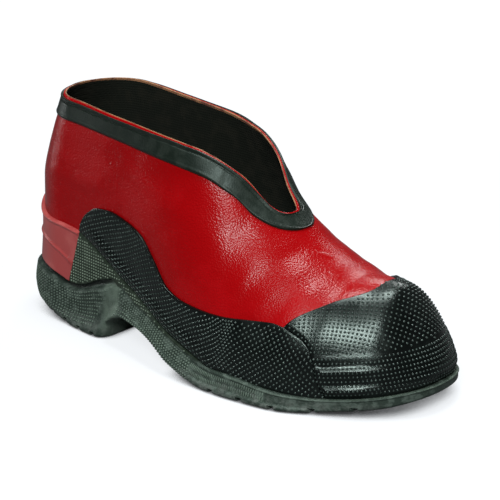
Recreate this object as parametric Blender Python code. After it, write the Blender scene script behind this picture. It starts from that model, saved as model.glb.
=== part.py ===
"""Rubber overshoe for the right foot, laid up on its last.

Sizes are in millimetres and the meshes are in metres. X runs from heel to toe, Y to the
left of the foot and Z up. A station is a distance along the last from the back of the heel,
and a share is the part of the way up from the feather line to the crest of the last.
"""
import bmesh
import bpy
import numpy as np

MM = 0.001

# Driving sizes
LENGTH = 300.0
BALL_WIDTH = 112.0
INSTEP_HEIGHT = 95.5
HEEL_HEIGHT = 32.0
COLLAR_HEIGHT = 146.0

# Rubber thicknesses, and the gaps between pieces: under a band, and along a seam
WALL = 2.2
BAND = 1.8
INSOLE_THICKNESS = 2.5
INSOLE_MARGIN = 0.6
FIT = 0.4
SEAM = 0.7
STEEP_SEAM = 1.4

# Facets: rows along the upper behind and before the throat, columns up each piece, the least
# distance between rows of a band, and the angle between facets that shows as an edge
BACK_ROWS = 31
VAMP_ROWS = 19
UPPER_COLUMNS = 10
BINDING_COLUMNS = 2
FOXING_COLUMNS = 4
SHANK_COLUMNS = 3
CAP_COLUMNS = 12
STAY_COLUMNS = 7
BINDING_TIP_ROWS = 9
CLOSEST_ROWS = 0.5
EDGE_ANGLE = np.radians(35)
TINY = 1e-6

# The last from heel to toe, as shares of the driving sizes:
# station, middle, half width, feather line, crest, fullness, taper
LAST = np.array((
    (0.000, 0.000, 0.330, 0.80, 2.62, 2.00, 0.50),
    (0.150, 0.000, 0.339, 0.88, 2.62, 2.00, 0.50),
    (0.280, -0.013, 0.357, 1.03, 2.45, 2.00, 0.53),
    (0.350, -0.021, 0.371, 1.03, 2.32, 2.00, 0.58),
    (0.420, -0.030, 0.400, 0.91, 2.17, 2.00, 0.66),
    (0.500, -0.040, 0.438, 0.67, 1.93, 2.00, 0.80),
    (0.583, -0.031, 0.473, 0.45, 1.53, 2.00, 0.85),
    (0.633, -0.018, 0.491, 0.39, 1.17, 2.00, 0.70),
    (0.675, -0.006, 0.499, 0.39, 1.00, 2.00, 0.60),
    (0.703, 0.004, 0.500, 0.39, 0.92, 2.00, 0.57),
    (0.733, 0.013, 0.500, 0.39, 0.85, 2.05, 0.56),
    (0.783, 0.027, 0.496, 0.40, 0.76, 2.15, 0.53),
    (0.833, 0.046, 0.480, 0.42, 0.70, 2.08, 0.52),
    (0.873, 0.060, 0.468, 0.45, 0.70, 1.78, 0.55),
    (0.920, 0.071, 0.455, 0.50, 0.73, 1.48, 0.56),
    (1.000, 0.090, 0.438, 0.62, 0.48, 1.48, 0.56),
)) * (LENGTH, BALL_WIDTH, BALL_WIDTH, HEEL_HEIGHT, INSTEP_HEIGHT, 1.0, 1.0)
MIDDLE, HALF, FEATHER, CREST, FULLNESS, TAPER = range(1, 7)

# Rounding of the two ends in plan, and of the toe in profile
HEEL_ROUND = 38.0
TOE_ROUND = 88.0
TOE_POWER = 2.3
TOE_RISE = 50.0
RISE_POWER = 2.2

# Back curve of the heel: height, forward shift, both in millimetres; it fades out by LEAN_REACH
LEAN = np.array(((0, 0), (27, 2.5), (60, 6), (88, 6), (110, 12), (146, 28), (260, 65)), float)
LEAN_REACH = 130.0

# Edges drawn on the last: station and height, as shares of the length and of the collar height.
# The collar and the two edges of its binding end where they close round the throat, each at its tip.
EDGE_UNITS = (LENGTH, COLLAR_HEIGHT)
THROAT = 0.672 * LENGTH
THROAT_POWER = 0.42
BINDING_LIP = 0.677 * LENGTH
BINDING_TIP = 0.702 * LENGTH
COLLAR = np.array((
    (0.000, 1.000), (0.150, 0.986), (0.283, 0.966), (0.367, 0.952), (0.443, 0.935), (0.517, 0.909),
    (0.580, 0.864), (0.610, 0.806),
)) * EDGE_UNITS
BINDING_TOP = np.array((
    (0.000, 0.986), (0.150, 0.973), (0.283, 0.952), (0.370, 0.938), (0.467, 0.918),
    (0.540, 0.886), (0.580, 0.848), (0.610, 0.793),
)) * EDGE_UNITS
BINDING_FOOT = np.array((
    (0.000, 0.904), (0.150, 0.890), (0.283, 0.872), (0.370, 0.856), (0.467, 0.834),
    (0.540, 0.803), (0.593, 0.745), (0.633, 0.672), (0.657, 0.633),
)) * EDGE_UNITS
FOXING_TOP = np.array((
    (0.205, 0.442), (0.213, 0.483), (0.233, 0.527), (0.267, 0.562), (0.303, 0.567), (0.350, 0.552),
    (0.403, 0.520), (0.453, 0.435), (0.500, 0.347), (0.553, 0.315), (0.633, 0.304), (0.690, 0.312),
    (0.747, 0.319), (0.770, 0.312), (0.857, 0.300),
)) * EDGE_UNITS
FOXING_FOOT = np.array((
    (0.205, 0.430), (0.233, 0.411), (0.267, 0.384), (0.303, 0.349), (0.350, 0.301), (0.403, 0.260),
    (0.453, 0.216), (0.500, 0.173), (0.553, 0.138), (0.597, 0.108), (0.633, 0.080), (0.857, 0.080),
)) * EDGE_UNITS
CAP_SEAM = np.array((
    (0.770, 0.312), (0.810, 0.274), (0.833, 0.212), (0.843, 0.144), (0.857, 0.080), (1.000, 0.080),
)) * EDGE_UNITS
CAP_TOP = np.array((
    (0.770, 0.312), (0.780, 0.339), (0.793, 0.360), (0.810, 0.380), (0.833, 0.404), (0.843, 0.414),
    (0.857, 0.428), (0.864, 0.440), (0.870, 0.470), (1.000, 0.470),
)) * EDGE_UNITS
STAY_TOP = np.array((
    (0.000, 0.520), (0.040, 0.473), (0.083, 0.452), (0.150, 0.442), (0.205, 0.430),
)) * EDGE_UNITS
STAY_FRONT = np.array(((0.170, 0.190), (0.205, 0.427))) * EDGE_UNITS
SHANK_END = 0.617 * LENGTH

# Raised rib round the heel stay and thickened bumper round the toe
STAY_RIB_HEIGHT = 45.0
STAY_RIB_WIDTH = 5.0
STAY_RIB_RISE = 0.9
BUMPER_TOP = 36.0
BUMPER_BLEND = 3.0
BUMPER_RISE = 1.2

# Sole: underside along the length (station, height), then how far its side stands out from the
# last at each share of its height, at the back of the heel, along the heel and at the forefoot,
# then where the rows of facets of the sole and the insole lie: end and count at the heel and toe
UNDERSIDE = np.array((
    (0, 0), (86, 0), (92, 13), (100, 18), (112, 20), (125, 19), (135, 17), (142, 14.5), (155, 7.3),
    (165, 4), (173, 1.8), (185, 0), (240, 0), (265, 2), (285, 5), (300, 9.5),
), float)
SOLE_SIDE = np.array((
    (1.00, 2.4, 2.6, 4.2),
    (0.88, 4.4, 3.8, 4.8),
    (0.66, 5.6, 2.8, 4.4),
    (0.40, 5.6, 2.8, 4.4),
    (0.18, 4.2, 4.4, 5.0),
    (0.00, 0.0, 5.4, 4.6),
))
SOLE_HEEL = (80.0, 13)
SOLE_MIDDLE = np.concatenate((
    (84, 86, 87.5, 89, 90.5, 92, 95, 100), np.linspace(106, 185, 13), np.linspace(195, 240, 5),
))
SOLE_TOE = (249.0, 10)
INSOLE_HEEL = (60.0, 10)
INSOLE_MIDDLE = np.linspace(70, 220, 16)
INSOLE_TOE = (229.0, 9)
HEEL_SIDE_START = 45.0
HEEL_BLOCK_END = 88.0
FOREFOOT_START = 150.0
SCOOP_CENTRE = (95.0, -1.5, 9.5)
SCOOP_RADII = (14.0, 26.0, 6.5)
SCOOP_FACETS = (20, 12)

# Tread grooves across the sole: first station, pitch, count
GROOVE_WIDTH = 4.0
GROOVE_DEPTH = 3.0
GROOVE_LENGTH = 160.0
FORE_GROOVES = (172.0, 20.5, 6)
HEEL_GROOVES = (9.0, 14.0, 6)


# Shape of the last

def smooth(table, column, station):
    """Monotone cubic through one column of a table whose first column is the place along it."""
    knots = table[:, 0]
    values = table[:, column]
    step = np.diff(knots)
    slope = np.diff(values) / step
    tangent = np.zeros(len(knots))
    tangent[0] = slope[0]
    tangent[-1] = slope[-1]
    for k in range(1, len(knots) - 1):
        if slope[k - 1] * slope[k] > 0:
            near = 2 * step[k] + step[k - 1]
            far = step[k] + 2 * step[k - 1]
            tangent[k] = (near + far) / (near / slope[k - 1] + far / slope[k])
    place = np.clip(station, knots[0], knots[-1])
    k = np.clip(np.searchsorted(knots, place, side="right") - 1, 0, len(step) - 1)
    t = (place - knots[k]) / step[k]
    start = (1 + 2 * t) * (1 - t) ** 2 * values[k] + t * (1 - t) ** 2 * step[k] * tangent[k]
    end = t * t * (3 - 2 * t) * values[k + 1] + t * t * (t - 1) * step[k] * tangent[k + 1]
    return start + end


def blend(value, start, end):
    """Soft step from 0 at start to 1 at end."""
    t = np.clip((value - start) / (end - start), 0, 1)
    return t * t * (3 - 2 * t)


def plan_round(station, grow):
    """Narrowing of the half width towards the heel and the toe."""
    back = np.clip((HEEL_ROUND - station) / (HEEL_ROUND + grow), 0, 1)
    front = np.clip((station - LENGTH + TOE_ROUND) / (TOE_ROUND + grow), 0, 1)
    return np.sqrt(1 - back ** 2) * (1 - front ** TOE_POWER) ** (1 / TOE_POWER)


def crest_height(station, grow):
    """Height of the last's crest, which comes down to the feather line at the toe."""
    front = np.clip((station - LENGTH + TOE_RISE) / (TOE_RISE + grow), 0, 1)
    rise = (1 - front ** RISE_POWER) ** (1 / RISE_POWER)
    feather = smooth(LAST, FEATHER, station)
    return feather + (smooth(LAST, CREST, station) + grow - feather) * rise


def half_width(station, share, grow=0.0):
    """Distance from the last's middle to its side at a share of the way up."""
    rounding = np.clip(1 - share ** smooth(LAST, FULLNESS, station), 0, 1) ** smooth(LAST, TAPER, station)
    return (smooth(LAST, HALF, station) + grow) * plan_round(station, grow) * rounding


def last_point(station, share, side, grow=0.0):
    """A point on the last grown by a thickness; side is -1 for the right and 1 for the left."""
    place = station + grow * (2 * station / LENGTH - 1)
    feather = smooth(LAST, FEATHER, place)
    height = feather + (crest_height(place, grow) - feather) * share
    lean = smooth(LEAN, 1, height) * np.clip(1 - place / LEAN_REACH, 0, 1) ** 2
    across = smooth(LAST, MIDDLE, place) + side * half_width(place, share, grow)
    return np.array((place + lean, across, height))


def share_at(station, height):
    """Share of the way up the last at a height, from 0 at the feather line to 1 at the crest."""
    feather = smooth(LAST, FEATHER, station)
    rise = crest_height(station, 0.0) - feather
    return np.clip((height - feather) / np.maximum(rise, TINY), 0, 1)


def share_across(station, width):
    """Share of the way up the last at which its side is a width away from its middle."""
    rounding = np.clip(width / np.maximum(half_width(station, 0.0), TINY), 0, 1)
    return (1 - rounding ** (1 / smooth(LAST, TAPER, station))) ** (1 / smooth(LAST, FULLNESS, station))


def round_throat(stations, edge, tip):
    """Share up the last of an edge that follows its table and then closes round the throat."""
    start, height = edge[-1]
    closing = np.clip((tip - stations) / (tip - start), 0, 1) ** THROAT_POWER
    width = half_width(start, share_at(start, height)) * closing
    beside = share_at(stations, smooth(edge, 1, stations))
    return np.where(stations < start, beside, share_across(stations, width))


def spaced(start, end, count):
    """Stations between two ends, closer together near both of them."""
    return (start + end) / 2 - (end - start) / 2 * np.cos(np.linspace(0, np.pi, count))


# Meshes

def clear_scene():
    for obj in list(bpy.data.objects):
        bpy.data.objects.remove(obj, do_unlink=True)


def rubber(name, colour, roughness):
    material = bpy.data.materials.new(name)
    material.use_nodes = True
    shader = material.node_tree.nodes["Principled BSDF"]
    shader.inputs["Base Color"].default_value = (*colour, 1.0)
    shader.inputs["Roughness"].default_value = roughness
    shader.inputs["Metallic"].default_value = 0.0
    return material


def add_object(name, bm, collection, material=None):
    """Put a finished bmesh, in millimetres, into the scene as an object in metres."""
    bmesh.ops.triangulate(bm, faces=bm.faces[:])
    bmesh.ops.scale(bm, vec=(MM, MM, MM), verts=bm.verts[:])
    mesh = bpy.data.meshes.new(name)
    bm.to_mesh(mesh)
    bm.free()
    mesh.shade_smooth()
    mesh.set_sharp_from_angle(angle=EDGE_ANGLE)
    obj = bpy.data.objects.new(name, mesh)
    collection.objects.link(obj)
    if material:
        mesh.materials.append(material)
    return obj


def closed_body(places, faces):
    """A bmesh from places named by keys and faces that list those keys."""
    bm = bmesh.new()
    verts = {}
    for face in faces:
        for key in face:
            if key not in verts:
                verts[key] = bm.verts.new(places[key])
        bm.faces.new([verts[key] for key in face])
    bmesh.ops.recalc_face_normals(bm, faces=bm.faces[:])
    return bm


def without_repeats(keys):
    """The keys of a facet in order, with a corner that it meets twice kept once."""
    kept = []
    for key in keys:
        if key not in kept:
            kept.append(key)
    return kept


def wall_on_last(stations, low, high, inner, outer, sides, columns):
    """Closed wall between two grown copies of the last, from share low to share high.

    outer is the growth of the outer face as a function of station and height. The two sides
    join along the crest, at the back of the heel and at the tip of the toe.
    """
    places = {}

    def corner(row, column, side, layer):
        bottom = np.arcsin(low[row])
        top = np.arcsin(high[row])
        share = np.sin(bottom + (top - bottom) * column / columns)
        at_tip = stations[row] >= LENGTH
        if at_tip or top - bottom < TINY:
            column = 0
        if at_tip or stations[row] <= 0 or (column == columns and high[row] >= 1) or low[row] >= 1:
            side = 0
        key = (row, column, side, layer)
        if key not in places:
            grow = inner
            if layer:
                grow = outer(stations[row], last_point(stations[row], share, side)[2])
            places[key] = last_point(stations[row], share, side, grow)
        return key

    faces = []
    for side in sides:
        for row in range(len(stations) - 1):
            for column in range(columns):
                ring = ((row, column), (row + 1, column), (row + 1, column + 1), (row, column + 1))
                for layer in (0, 1):
                    face = without_repeats([corner(*step, side, layer) for step in ring])
                    if len(face) > 2:
                        faces.append(face)
    uses = {}
    for face in faces:
        for start, end in zip(face, face[1:] + face[:1]):
            uses.setdefault(frozenset((start, end)), []).append((start, end))
    for (start, end), *others in uses.values():
        if start[3] == 1 and not others:
            faces.append([start, end, (*end[:3], 0), (*start[:3], 0)])
    return closed_body(places, faces)


def band_on_last(stations, foot, top, sides, columns, outer):
    """Wall lying on the upper between two heights along its stations."""
    low = share_at(stations, foot)
    high = np.maximum(low, share_at(stations, top))
    return wall_on_last(stations, low, high, FIT, outer, sides, columns)


def bare_last(station, height):
    """Outer face of the upper, which lies on the last itself."""
    return 0.0


def even_band(station, height):
    """Outer face of a plain band over the upper."""
    return FIT + BAND


def ribbed_band(station, height):
    """Outer face of the heel stay, with its rib."""
    away = abs(height - STAY_RIB_HEIGHT) / (STAY_RIB_WIDTH / 2)
    return FIT + BAND + STAY_RIB_RISE * (1 - blend(away, 0.3, 1.0))


def bumper_band(station, height):
    """Outer face of the toe cap, thicker below the bumper's top edge."""
    return FIT + BAND + BUMPER_RISE * (1 - blend(height, BUMPER_TOP - BUMPER_BLEND, BUMPER_TOP))


# Pieces

def upper_stations():
    return np.concatenate((spaced(0, THROAT, BACK_ROWS), spaced(THROAT, LENGTH, VAMP_ROWS)[1:]))


def band_stations(start, end, *edges):
    """The upper's own stations within a band, with those of the band's edges added."""
    own = np.unique(np.concatenate([[start, end]] + [edge[:, 0] for edge in edges]))
    own = own[(own >= start) & (own <= end)]
    shared = [station for station in upper_stations() if start < station < end]
    kept = [station for station in shared if np.abs(own - station).min() > CLOSEST_ROWS]
    return np.sort(np.concatenate((own, kept)))


def upper():
    stations = upper_stations()
    high = round_throat(stations, COLLAR, THROAT)
    return wall_on_last(stations, 0 * stations, high, -WALL, bare_last, (-1, 1), UPPER_COLUMNS)


def collar_binding():
    tip = spaced(BINDING_LIP, BINDING_TIP, BINDING_TIP_ROWS)[:, None]
    stations = band_stations(0.0, BINDING_TIP, tip)
    low = round_throat(stations, BINDING_FOOT, BINDING_TIP)
    high = round_throat(stations, BINDING_TOP, BINDING_LIP)
    return wall_on_last(stations, low, high, FIT, even_band, (-1, 1), BINDING_COLUMNS)


def foxing(side):
    stations = band_stations(FOXING_TOP[0, 0], FOXING_TOP[-1, 0], FOXING_TOP, CAP_SEAM)
    foot = smooth(FOXING_FOOT, 1, stations) + SEAM / 2
    front = np.where(stations < CAP_SEAM[0, 0], np.inf, smooth(CAP_SEAM, 1, stations) - STEEP_SEAM)
    top = np.minimum(smooth(FOXING_TOP, 1, stations), front)
    return band_on_last(stations, foot, top, (side,), FOXING_COLUMNS, even_band)


def shank_panel(side):
    stations = band_stations(STAY_FRONT[0, 0], SHANK_END, STAY_FRONT, FOXING_FOOT)
    back = np.where(stations > STAY_FRONT[1, 0], np.inf, smooth(STAY_FRONT, 1, stations) - STEEP_SEAM)
    top = np.minimum(smooth(FOXING_FOOT, 1, stations) - SEAM / 2, back)
    return band_on_last(stations, 0 * stations, top, (side,), SHANK_COLUMNS, even_band)


def toe_cap():
    stations = band_stations(CAP_TOP[0, 0], LENGTH, CAP_TOP)
    foot = smooth(CAP_SEAM, 1, stations)
    top = smooth(CAP_TOP, 1, stations)
    return band_on_last(stations, foot, top, (-1, 1), CAP_COLUMNS, bumper_band)


def heel_stay():
    stations = band_stations(0.0, STAY_FRONT[1, 0], STAY_TOP, STAY_FRONT)
    front = np.where(stations < STAY_FRONT[0, 0], 0.0, smooth(STAY_FRONT, 1, stations))
    top = smooth(STAY_TOP, 1, stations)
    return band_on_last(stations, front, top, (-1, 1), STAY_COLUMNS, ribbed_band)


def slab_stations(heel, middle, toe):
    """Stations of a slab: a heel and a toe whose rows close up to their ends, and what lies between."""
    heel_end, heel_rows = heel
    toe_start, toe_rows = toe
    back = spaced(0, 2 * heel_end, 2 * heel_rows - 1)[:heel_rows]
    front = spaced(2 * toe_start - LENGTH, LENGTH, 2 * toe_rows - 1)[toe_rows - 1:]
    return np.concatenate((back, middle, front))


def slab_on_last(stations, ground, rings):
    """Solid with level slices across the last, made of rings round it.

    A ring gives its growth along the stations, its share of the way up from the ground to the
    feather line, and how far above the feather line that full share lies.
    """
    places = {}

    def corner(row, ring, side):
        if row in (0, len(stations) - 1):
            side = 0
        key = (row, ring, side)
        if key not in places:
            grow, share, rise = rings[ring]
            place = last_point(stations[row], 0.0, side, grow[row])
            place[2] = ground[row] + (place[2] + rise - ground[row]) * share
            places[key] = place
        return key

    faces = []
    for row in range(len(stations) - 1):
        for side in (-1, 1):
            for ring in range(len(rings) - 1):
                face = ((row, ring), (row + 1, ring), (row + 1, ring + 1), (row, ring + 1))
                faces.append(without_repeats([corner(*step, side) for step in face]))
        for ring in (0, len(rings) - 1):
            face = ((row, -1), (row + 1, -1), (row + 1, 1), (row, 1))
            faces.append(without_repeats([corner(step, ring, side) for step, side in face]))
    return closed_body(places, faces)


def outsole():
    stations = slab_stations(SOLE_HEEL, SOLE_MIDDLE, SOLE_TOE)
    beside = blend(stations, 0.0, HEEL_SIDE_START)
    forward = blend(stations, HEEL_BLOCK_END, FOREFOOT_START)
    rings = []
    for share, back_grow, heel_grow, fore_grow in SOLE_SIDE:
        grow = back_grow + (heel_grow - back_grow) * beside + (fore_grow - heel_grow) * forward
        rings.append((grow, share, -FIT))
    return slab_on_last(stations, smooth(UNDERSIDE, 1, stations), rings)


def insole():
    stations = slab_stations(INSOLE_HEEL, INSOLE_MIDDLE, INSOLE_TOE)
    grow = 0 * stations - WALL - INSOLE_MARGIN
    return slab_on_last(stations, 0 * stations, ((grow, 1.0, 0.0), (grow, 1.0, INSOLE_THICKNESS)))


def breast_scoop():
    bm = bmesh.new()
    round_facets, rise_facets = SCOOP_FACETS
    bmesh.ops.create_uvsphere(bm, u_segments=round_facets, v_segments=rise_facets, radius=1.0)
    bmesh.ops.scale(bm, vec=SCOOP_RADII, verts=bm.verts[:])
    bmesh.ops.translate(bm, vec=SCOOP_CENTRE, verts=bm.verts[:])
    return bm


def tread_grooves():
    bm = bmesh.new()
    for first, pitch, count in (HEEL_GROOVES, FORE_GROOVES):
        for station in first + pitch * np.arange(count):
            groove = bmesh.ops.create_cube(bm, size=1.0)["verts"]
            bmesh.ops.scale(bm, vec=(GROOVE_WIDTH, GROOVE_LENGTH, 2 * GROOVE_DEPTH), verts=groove)
            bmesh.ops.translate(bm, vec=(station, 0, smooth(UNDERSIDE, 1, station)), verts=groove)
    return bm


def cut(obj, cutter):
    cutter.hide_render = True
    cutter.display_type = "WIRE"
    modifier = obj.modifiers.new(cutter.name, "BOOLEAN")
    modifier.operation = "DIFFERENCE"
    modifier.solver = "EXACT"
    modifier.object = cutter


def main():
    clear_scene()
    parts = bpy.data.collections.new("overshoe")
    cutters = bpy.data.collections.new("overshoe_cutters")
    for collection in (parts, cutters):
        bpy.context.scene.collection.children.link(collection)

    red = (0.30, 0.003, 0.006)
    black = (0.016, 0.019, 0.017)
    pieces = (
        ("upper", upper(), red, 0.30),
        ("outsole", outsole(), (0.035, 0.040, 0.037), 0.65),
        ("insole", insole(), (0.020, 0.018, 0.016), 0.85),
        ("foxing_right", foxing(-1), black, 0.40),
        ("foxing_left", foxing(1), black, 0.40),
        ("shank_panel_right", shank_panel(-1), black, 0.55),
        ("shank_panel_left", shank_panel(1), black, 0.55),
        ("toe_cap", toe_cap(), black, 0.35),
        ("heel_stay", heel_stay(), red, 0.28),
        ("collar_binding", collar_binding(), (0.022, 0.026, 0.024), 0.38),
    )
    objects = {}
    for name, bm, colour, roughness in pieces:
        objects[name] = add_object(name, bm, parts, rubber(name + "_rubber", colour, roughness))

    # The shoe's middle, seen from above, stands over the origin
    corners = np.array([vert.co for vert in objects["outsole"].data.vertices])
    centre = (corners.min(axis=0) + corners.max(axis=0)) / 2
    last_origin = bpy.data.objects.new("last_origin", None)
    last_origin.location = (-centre[0], -centre[1], 0.0)
    parts.objects.link(last_origin)

    for name, bm in (("breast_scoop", breast_scoop()), ("tread_grooves", tread_grooves())):
        objects[name] = add_object(name, bm, cutters)
        cut(objects["outsole"], objects[name])
    for obj in objects.values():
        obj.parent = last_origin


main()
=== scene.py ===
"""Looks of a rubber overshoe for the right foot.

Shapes are worked out in millimetres on the shoe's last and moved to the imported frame. A station is
a distance along the last from the back of the heel, a share is the part of the way up from the
feather line to the crest, and grow is a distance out from the last. Side is -1 for the right.
"""

import bmesh
import bpy
import numpy as np
from mathutils import Matrix, Vector
from mathutils.bvhtree import BVHTree

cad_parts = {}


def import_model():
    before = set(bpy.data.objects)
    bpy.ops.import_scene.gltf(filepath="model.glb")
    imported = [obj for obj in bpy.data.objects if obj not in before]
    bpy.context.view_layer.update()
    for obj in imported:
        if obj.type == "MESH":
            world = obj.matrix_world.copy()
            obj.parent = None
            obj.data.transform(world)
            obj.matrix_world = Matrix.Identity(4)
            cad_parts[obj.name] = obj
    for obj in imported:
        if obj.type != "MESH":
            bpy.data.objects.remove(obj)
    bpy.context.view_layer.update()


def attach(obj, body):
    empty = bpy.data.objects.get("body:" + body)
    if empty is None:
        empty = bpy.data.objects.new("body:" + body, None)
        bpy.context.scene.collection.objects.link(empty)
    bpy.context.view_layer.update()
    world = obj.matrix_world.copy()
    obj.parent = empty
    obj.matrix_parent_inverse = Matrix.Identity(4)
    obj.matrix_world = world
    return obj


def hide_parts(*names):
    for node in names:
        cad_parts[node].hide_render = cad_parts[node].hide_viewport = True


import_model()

MM = 0.001
TINY = 1e-6
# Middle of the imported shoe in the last's own millimetres
SHIFT = np.array((150.881, 0.308, 0.0))

# Driving sizes of the last and the shoe
LENGTH = 300.0
BALL_WIDTH = 112.0
INSTEP_HEIGHT = 95.5
HEEL_HEIGHT = 32.0
COLLAR_HEIGHT = 146.0

# Gap between the solids, and thickness of the bands, the red rubber, the lining and the whole wall
FIT = 0.4
BAND = 1.8
SKIN = 1.3
LINING = 0.8
WALL = 2.2
# Inner and outer faces of the bands: they sit a little way into the red rubber
SHELL = FIT - 0.5
BAND_FACE = SHELL + BAND

# The last from heel to toe, as shares of the driving sizes:
# station, middle, half width, feather line, crest, fullness, taper
LAST = np.array((
    (0.000, 0.000, 0.330, 0.80, 2.62, 2.00, 0.50),
    (0.150, 0.000, 0.339, 0.88, 2.62, 2.00, 0.50),
    (0.280, -0.013, 0.357, 1.03, 2.45, 2.00, 0.53),
    (0.350, -0.021, 0.371, 1.03, 2.32, 2.00, 0.58),
    (0.420, -0.030, 0.400, 0.91, 2.17, 2.00, 0.66),
    (0.500, -0.040, 0.438, 0.67, 1.93, 2.00, 0.80),
    (0.583, -0.031, 0.473, 0.45, 1.53, 2.00, 0.85),
    (0.633, -0.018, 0.491, 0.39, 1.17, 2.00, 0.70),
    (0.675, -0.006, 0.499, 0.39, 1.00, 2.00, 0.60),
    (0.703, 0.004, 0.500, 0.39, 0.92, 2.00, 0.57),
    (0.733, 0.013, 0.500, 0.39, 0.85, 2.05, 0.56),
    (0.783, 0.027, 0.496, 0.40, 0.76, 2.15, 0.53),
    (0.833, 0.046, 0.480, 0.42, 0.70, 2.08, 0.52),
    (0.873, 0.060, 0.468, 0.45, 0.70, 1.78, 0.55),
    (0.920, 0.071, 0.455, 0.50, 0.73, 1.48, 0.56),
    (1.000, 0.090, 0.438, 0.62, 0.48, 1.48, 0.56),
)) * (LENGTH, BALL_WIDTH, BALL_WIDTH, HEEL_HEIGHT, INSTEP_HEIGHT, 1.0, 1.0)
MIDDLE, HALF, FEATHER, CREST, FULLNESS, TAPER = range(1, 7)

# Rounding of the two ends in plan, of the toe in profile, and the back curve of the heel
HEEL_ROUND = 38.0
TOE_ROUND = 88.0
TOE_POWER = 2.3
TOE_RISE = 50.0
RISE_POWER = 2.2
LEAN = np.array(((0, 0), (27, 2.5), (60, 6), (88, 6), (110, 12), (146, 28), (260, 65)), float)
LEAN_REACH = 130.0

# Edges drawn on the last: station and height, as shares of the length and of the collar height
EDGE_UNITS = (LENGTH, COLLAR_HEIGHT)
THROAT = 0.672 * LENGTH
THROAT_POWER = 0.42
THROAT_ROUND = 9.0
THROAT_PLAN = np.array((
    (140, 31.4), (150, 29.3), (160, 26.5), (166.5, 24.2), (171, 22.3), (176.5, 19.6), (180.5, 17.2),
    (184, 15.1), (188, 13.0), (192.5, 11.3), (196, 10.4), (206, 9.4),
), float)
BINDING_LIP = 0.677 * LENGTH - 0.4
BINDING_TIP = 0.702 * LENGTH
COLLAR = np.array((
    (0.000, 1.000), (0.150, 0.986), (0.283, 0.966), (0.367, 0.952), (0.443, 0.935), (0.517, 0.906),
    (0.550, 0.883), (0.580, 0.852), (0.610, 0.798),
)) * EDGE_UNITS
BINDING_TOP = np.array((
    (0.000, 0.986), (0.150, 0.973), (0.283, 0.952), (0.370, 0.938), (0.467, 0.918),
    (0.540, 0.880), (0.580, 0.838), (0.610, 0.786),
)) * EDGE_UNITS
BINDING_FOOT = np.array((
    (0.000, 0.904), (0.150, 0.890), (0.283, 0.872), (0.370, 0.856), (0.467, 0.834),
    (0.540, 0.803), (0.593, 0.745), (0.633, 0.672), (0.657, 0.633),
)) * EDGE_UNITS
FOXING_TOP = np.array((
    (0.205, 0.442), (0.213, 0.483), (0.233, 0.527), (0.267, 0.562), (0.303, 0.567), (0.350, 0.552),
    (0.403, 0.520), (0.453, 0.435), (0.500, 0.347), (0.553, 0.315), (0.633, 0.304), (0.690, 0.312),
    (0.747, 0.319), (0.770, 0.312), (0.868, 0.300),
)) * EDGE_UNITS
FOXING_FOOT = np.array((
    (0.205, 0.430), (0.233, 0.411), (0.267, 0.384), (0.303, 0.349), (0.350, 0.301), (0.403, 0.260),
    (0.453, 0.216), (0.500, 0.173), (0.553, 0.138), (0.597, 0.108), (0.633, 0.080), (0.868, 0.080),
)) * EDGE_UNITS
CAP_SEAM = np.array((
    (0.770, 0.312), (0.810, 0.274), (0.833, 0.212), (0.843, 0.144), (0.857, 0.080), (0.868, 0.036),
    (1.000, 0.036),
)) * EDGE_UNITS
CAP_TOP = np.array((
    (0.770, 0.312), (0.780, 0.339), (0.793, 0.360), (0.811, 0.380), (0.837, 0.404), (0.851, 0.414),
    (0.868, 0.428), (0.877, 0.440), (0.884, 0.470), (1.000, 0.470),
)) * EDGE_UNITS
STAY_TOP = np.array((
    (0.000, 0.520), (0.040, 0.473), (0.083, 0.452), (0.150, 0.442), (0.205, 0.430),
)) * EDGE_UNITS
STAY_FRONT = np.array(((0.170, 0.190), (0.205, 0.427))) * EDGE_UNITS
SHANK_END = 0.617 * LENGTH
# How far the bands reach down over the sole's edge, and the length of a share below the feather line
SKIRT = np.array(((0, 0), (198, 0), (230, 3.2), (255, 5.0), (270, 5.2), (300, 4.6)), float)
DROP = 100.0

# Sole: underside (station, height), and how far its side stands out from the last at each share of
# its height, at the back of the heel, along the heel, at the ball and at the toe
UNDERSIDE = np.array((
    (0, 5.0), (8, 4.9), (16, 4.7), (26, 4.1), (38, 2.9), (48, 1.6), (58, 0.5), (66, 0), (90, 0),
    (95, 11), (102, 17.5), (112, 20), (125, 19), (135, 17), (142, 14.5), (155, 7.3), (165, 4), (173, 1.8),
    (185, 0), (240, 0), (265, 2), (285, 5), (300, 9.5),
), float)
SOLE_SIDE = np.array((
    (0.00, -2.0, 7.6, 6.2, 1.6),
    (0.10, 1.6, 7.2, 6.9, 2.6),
    (0.20, 3.6, 5.6, 6.9, 3.2),
    (0.30, 4.6, 4.0, 6.6, 3.5),
    (0.38, 5.0, 3.2, 5.2, 3.6),
    (0.46, 5.2, 3.0, 5.0, 3.6),
    (0.66, 5.2, 3.0, 4.8, 3.6),
    (0.88, 4.4, 3.8, 4.8, 3.6),
    (1.00, 2.4, 2.6, 4.2, 3.4),
))
HEEL_SIDE_START = 70.0
HEEL_BLOCK_END = 88.0
FOREFOOT_START = 150.0
# The breast of the heel along the underside, and the rounding of its corner and of the sole's lower edge
BREAST = UNDERSIDE[8:12]
BREAST_ROUND = 9.0
FOOT_ROUND = 2.2
# Top edge of the heel block, where it cups the stay, and where it runs out
CREASE = np.array((
    (0, 34.6), (14, 34.2), (29, 32.4), (40, 30.1), (47.5, 28.4), (54.5, 27.6), (62.5, 28.6), (70, 31.2),
    (78, 34.9), (87, 38.1), (96, 40.6), (104, 39.5), (120, 34), (130, 32),
), float)
CREASE_END = 120.0
CREASE_FADE = 20.0
# How far the sole's top edge is above the feather line, the bands go behind it, and the stay stays off it
SOLE_LIP = 0.7
BAND_TUCK = 1.6
SEAM_GAP = 0.2
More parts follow.
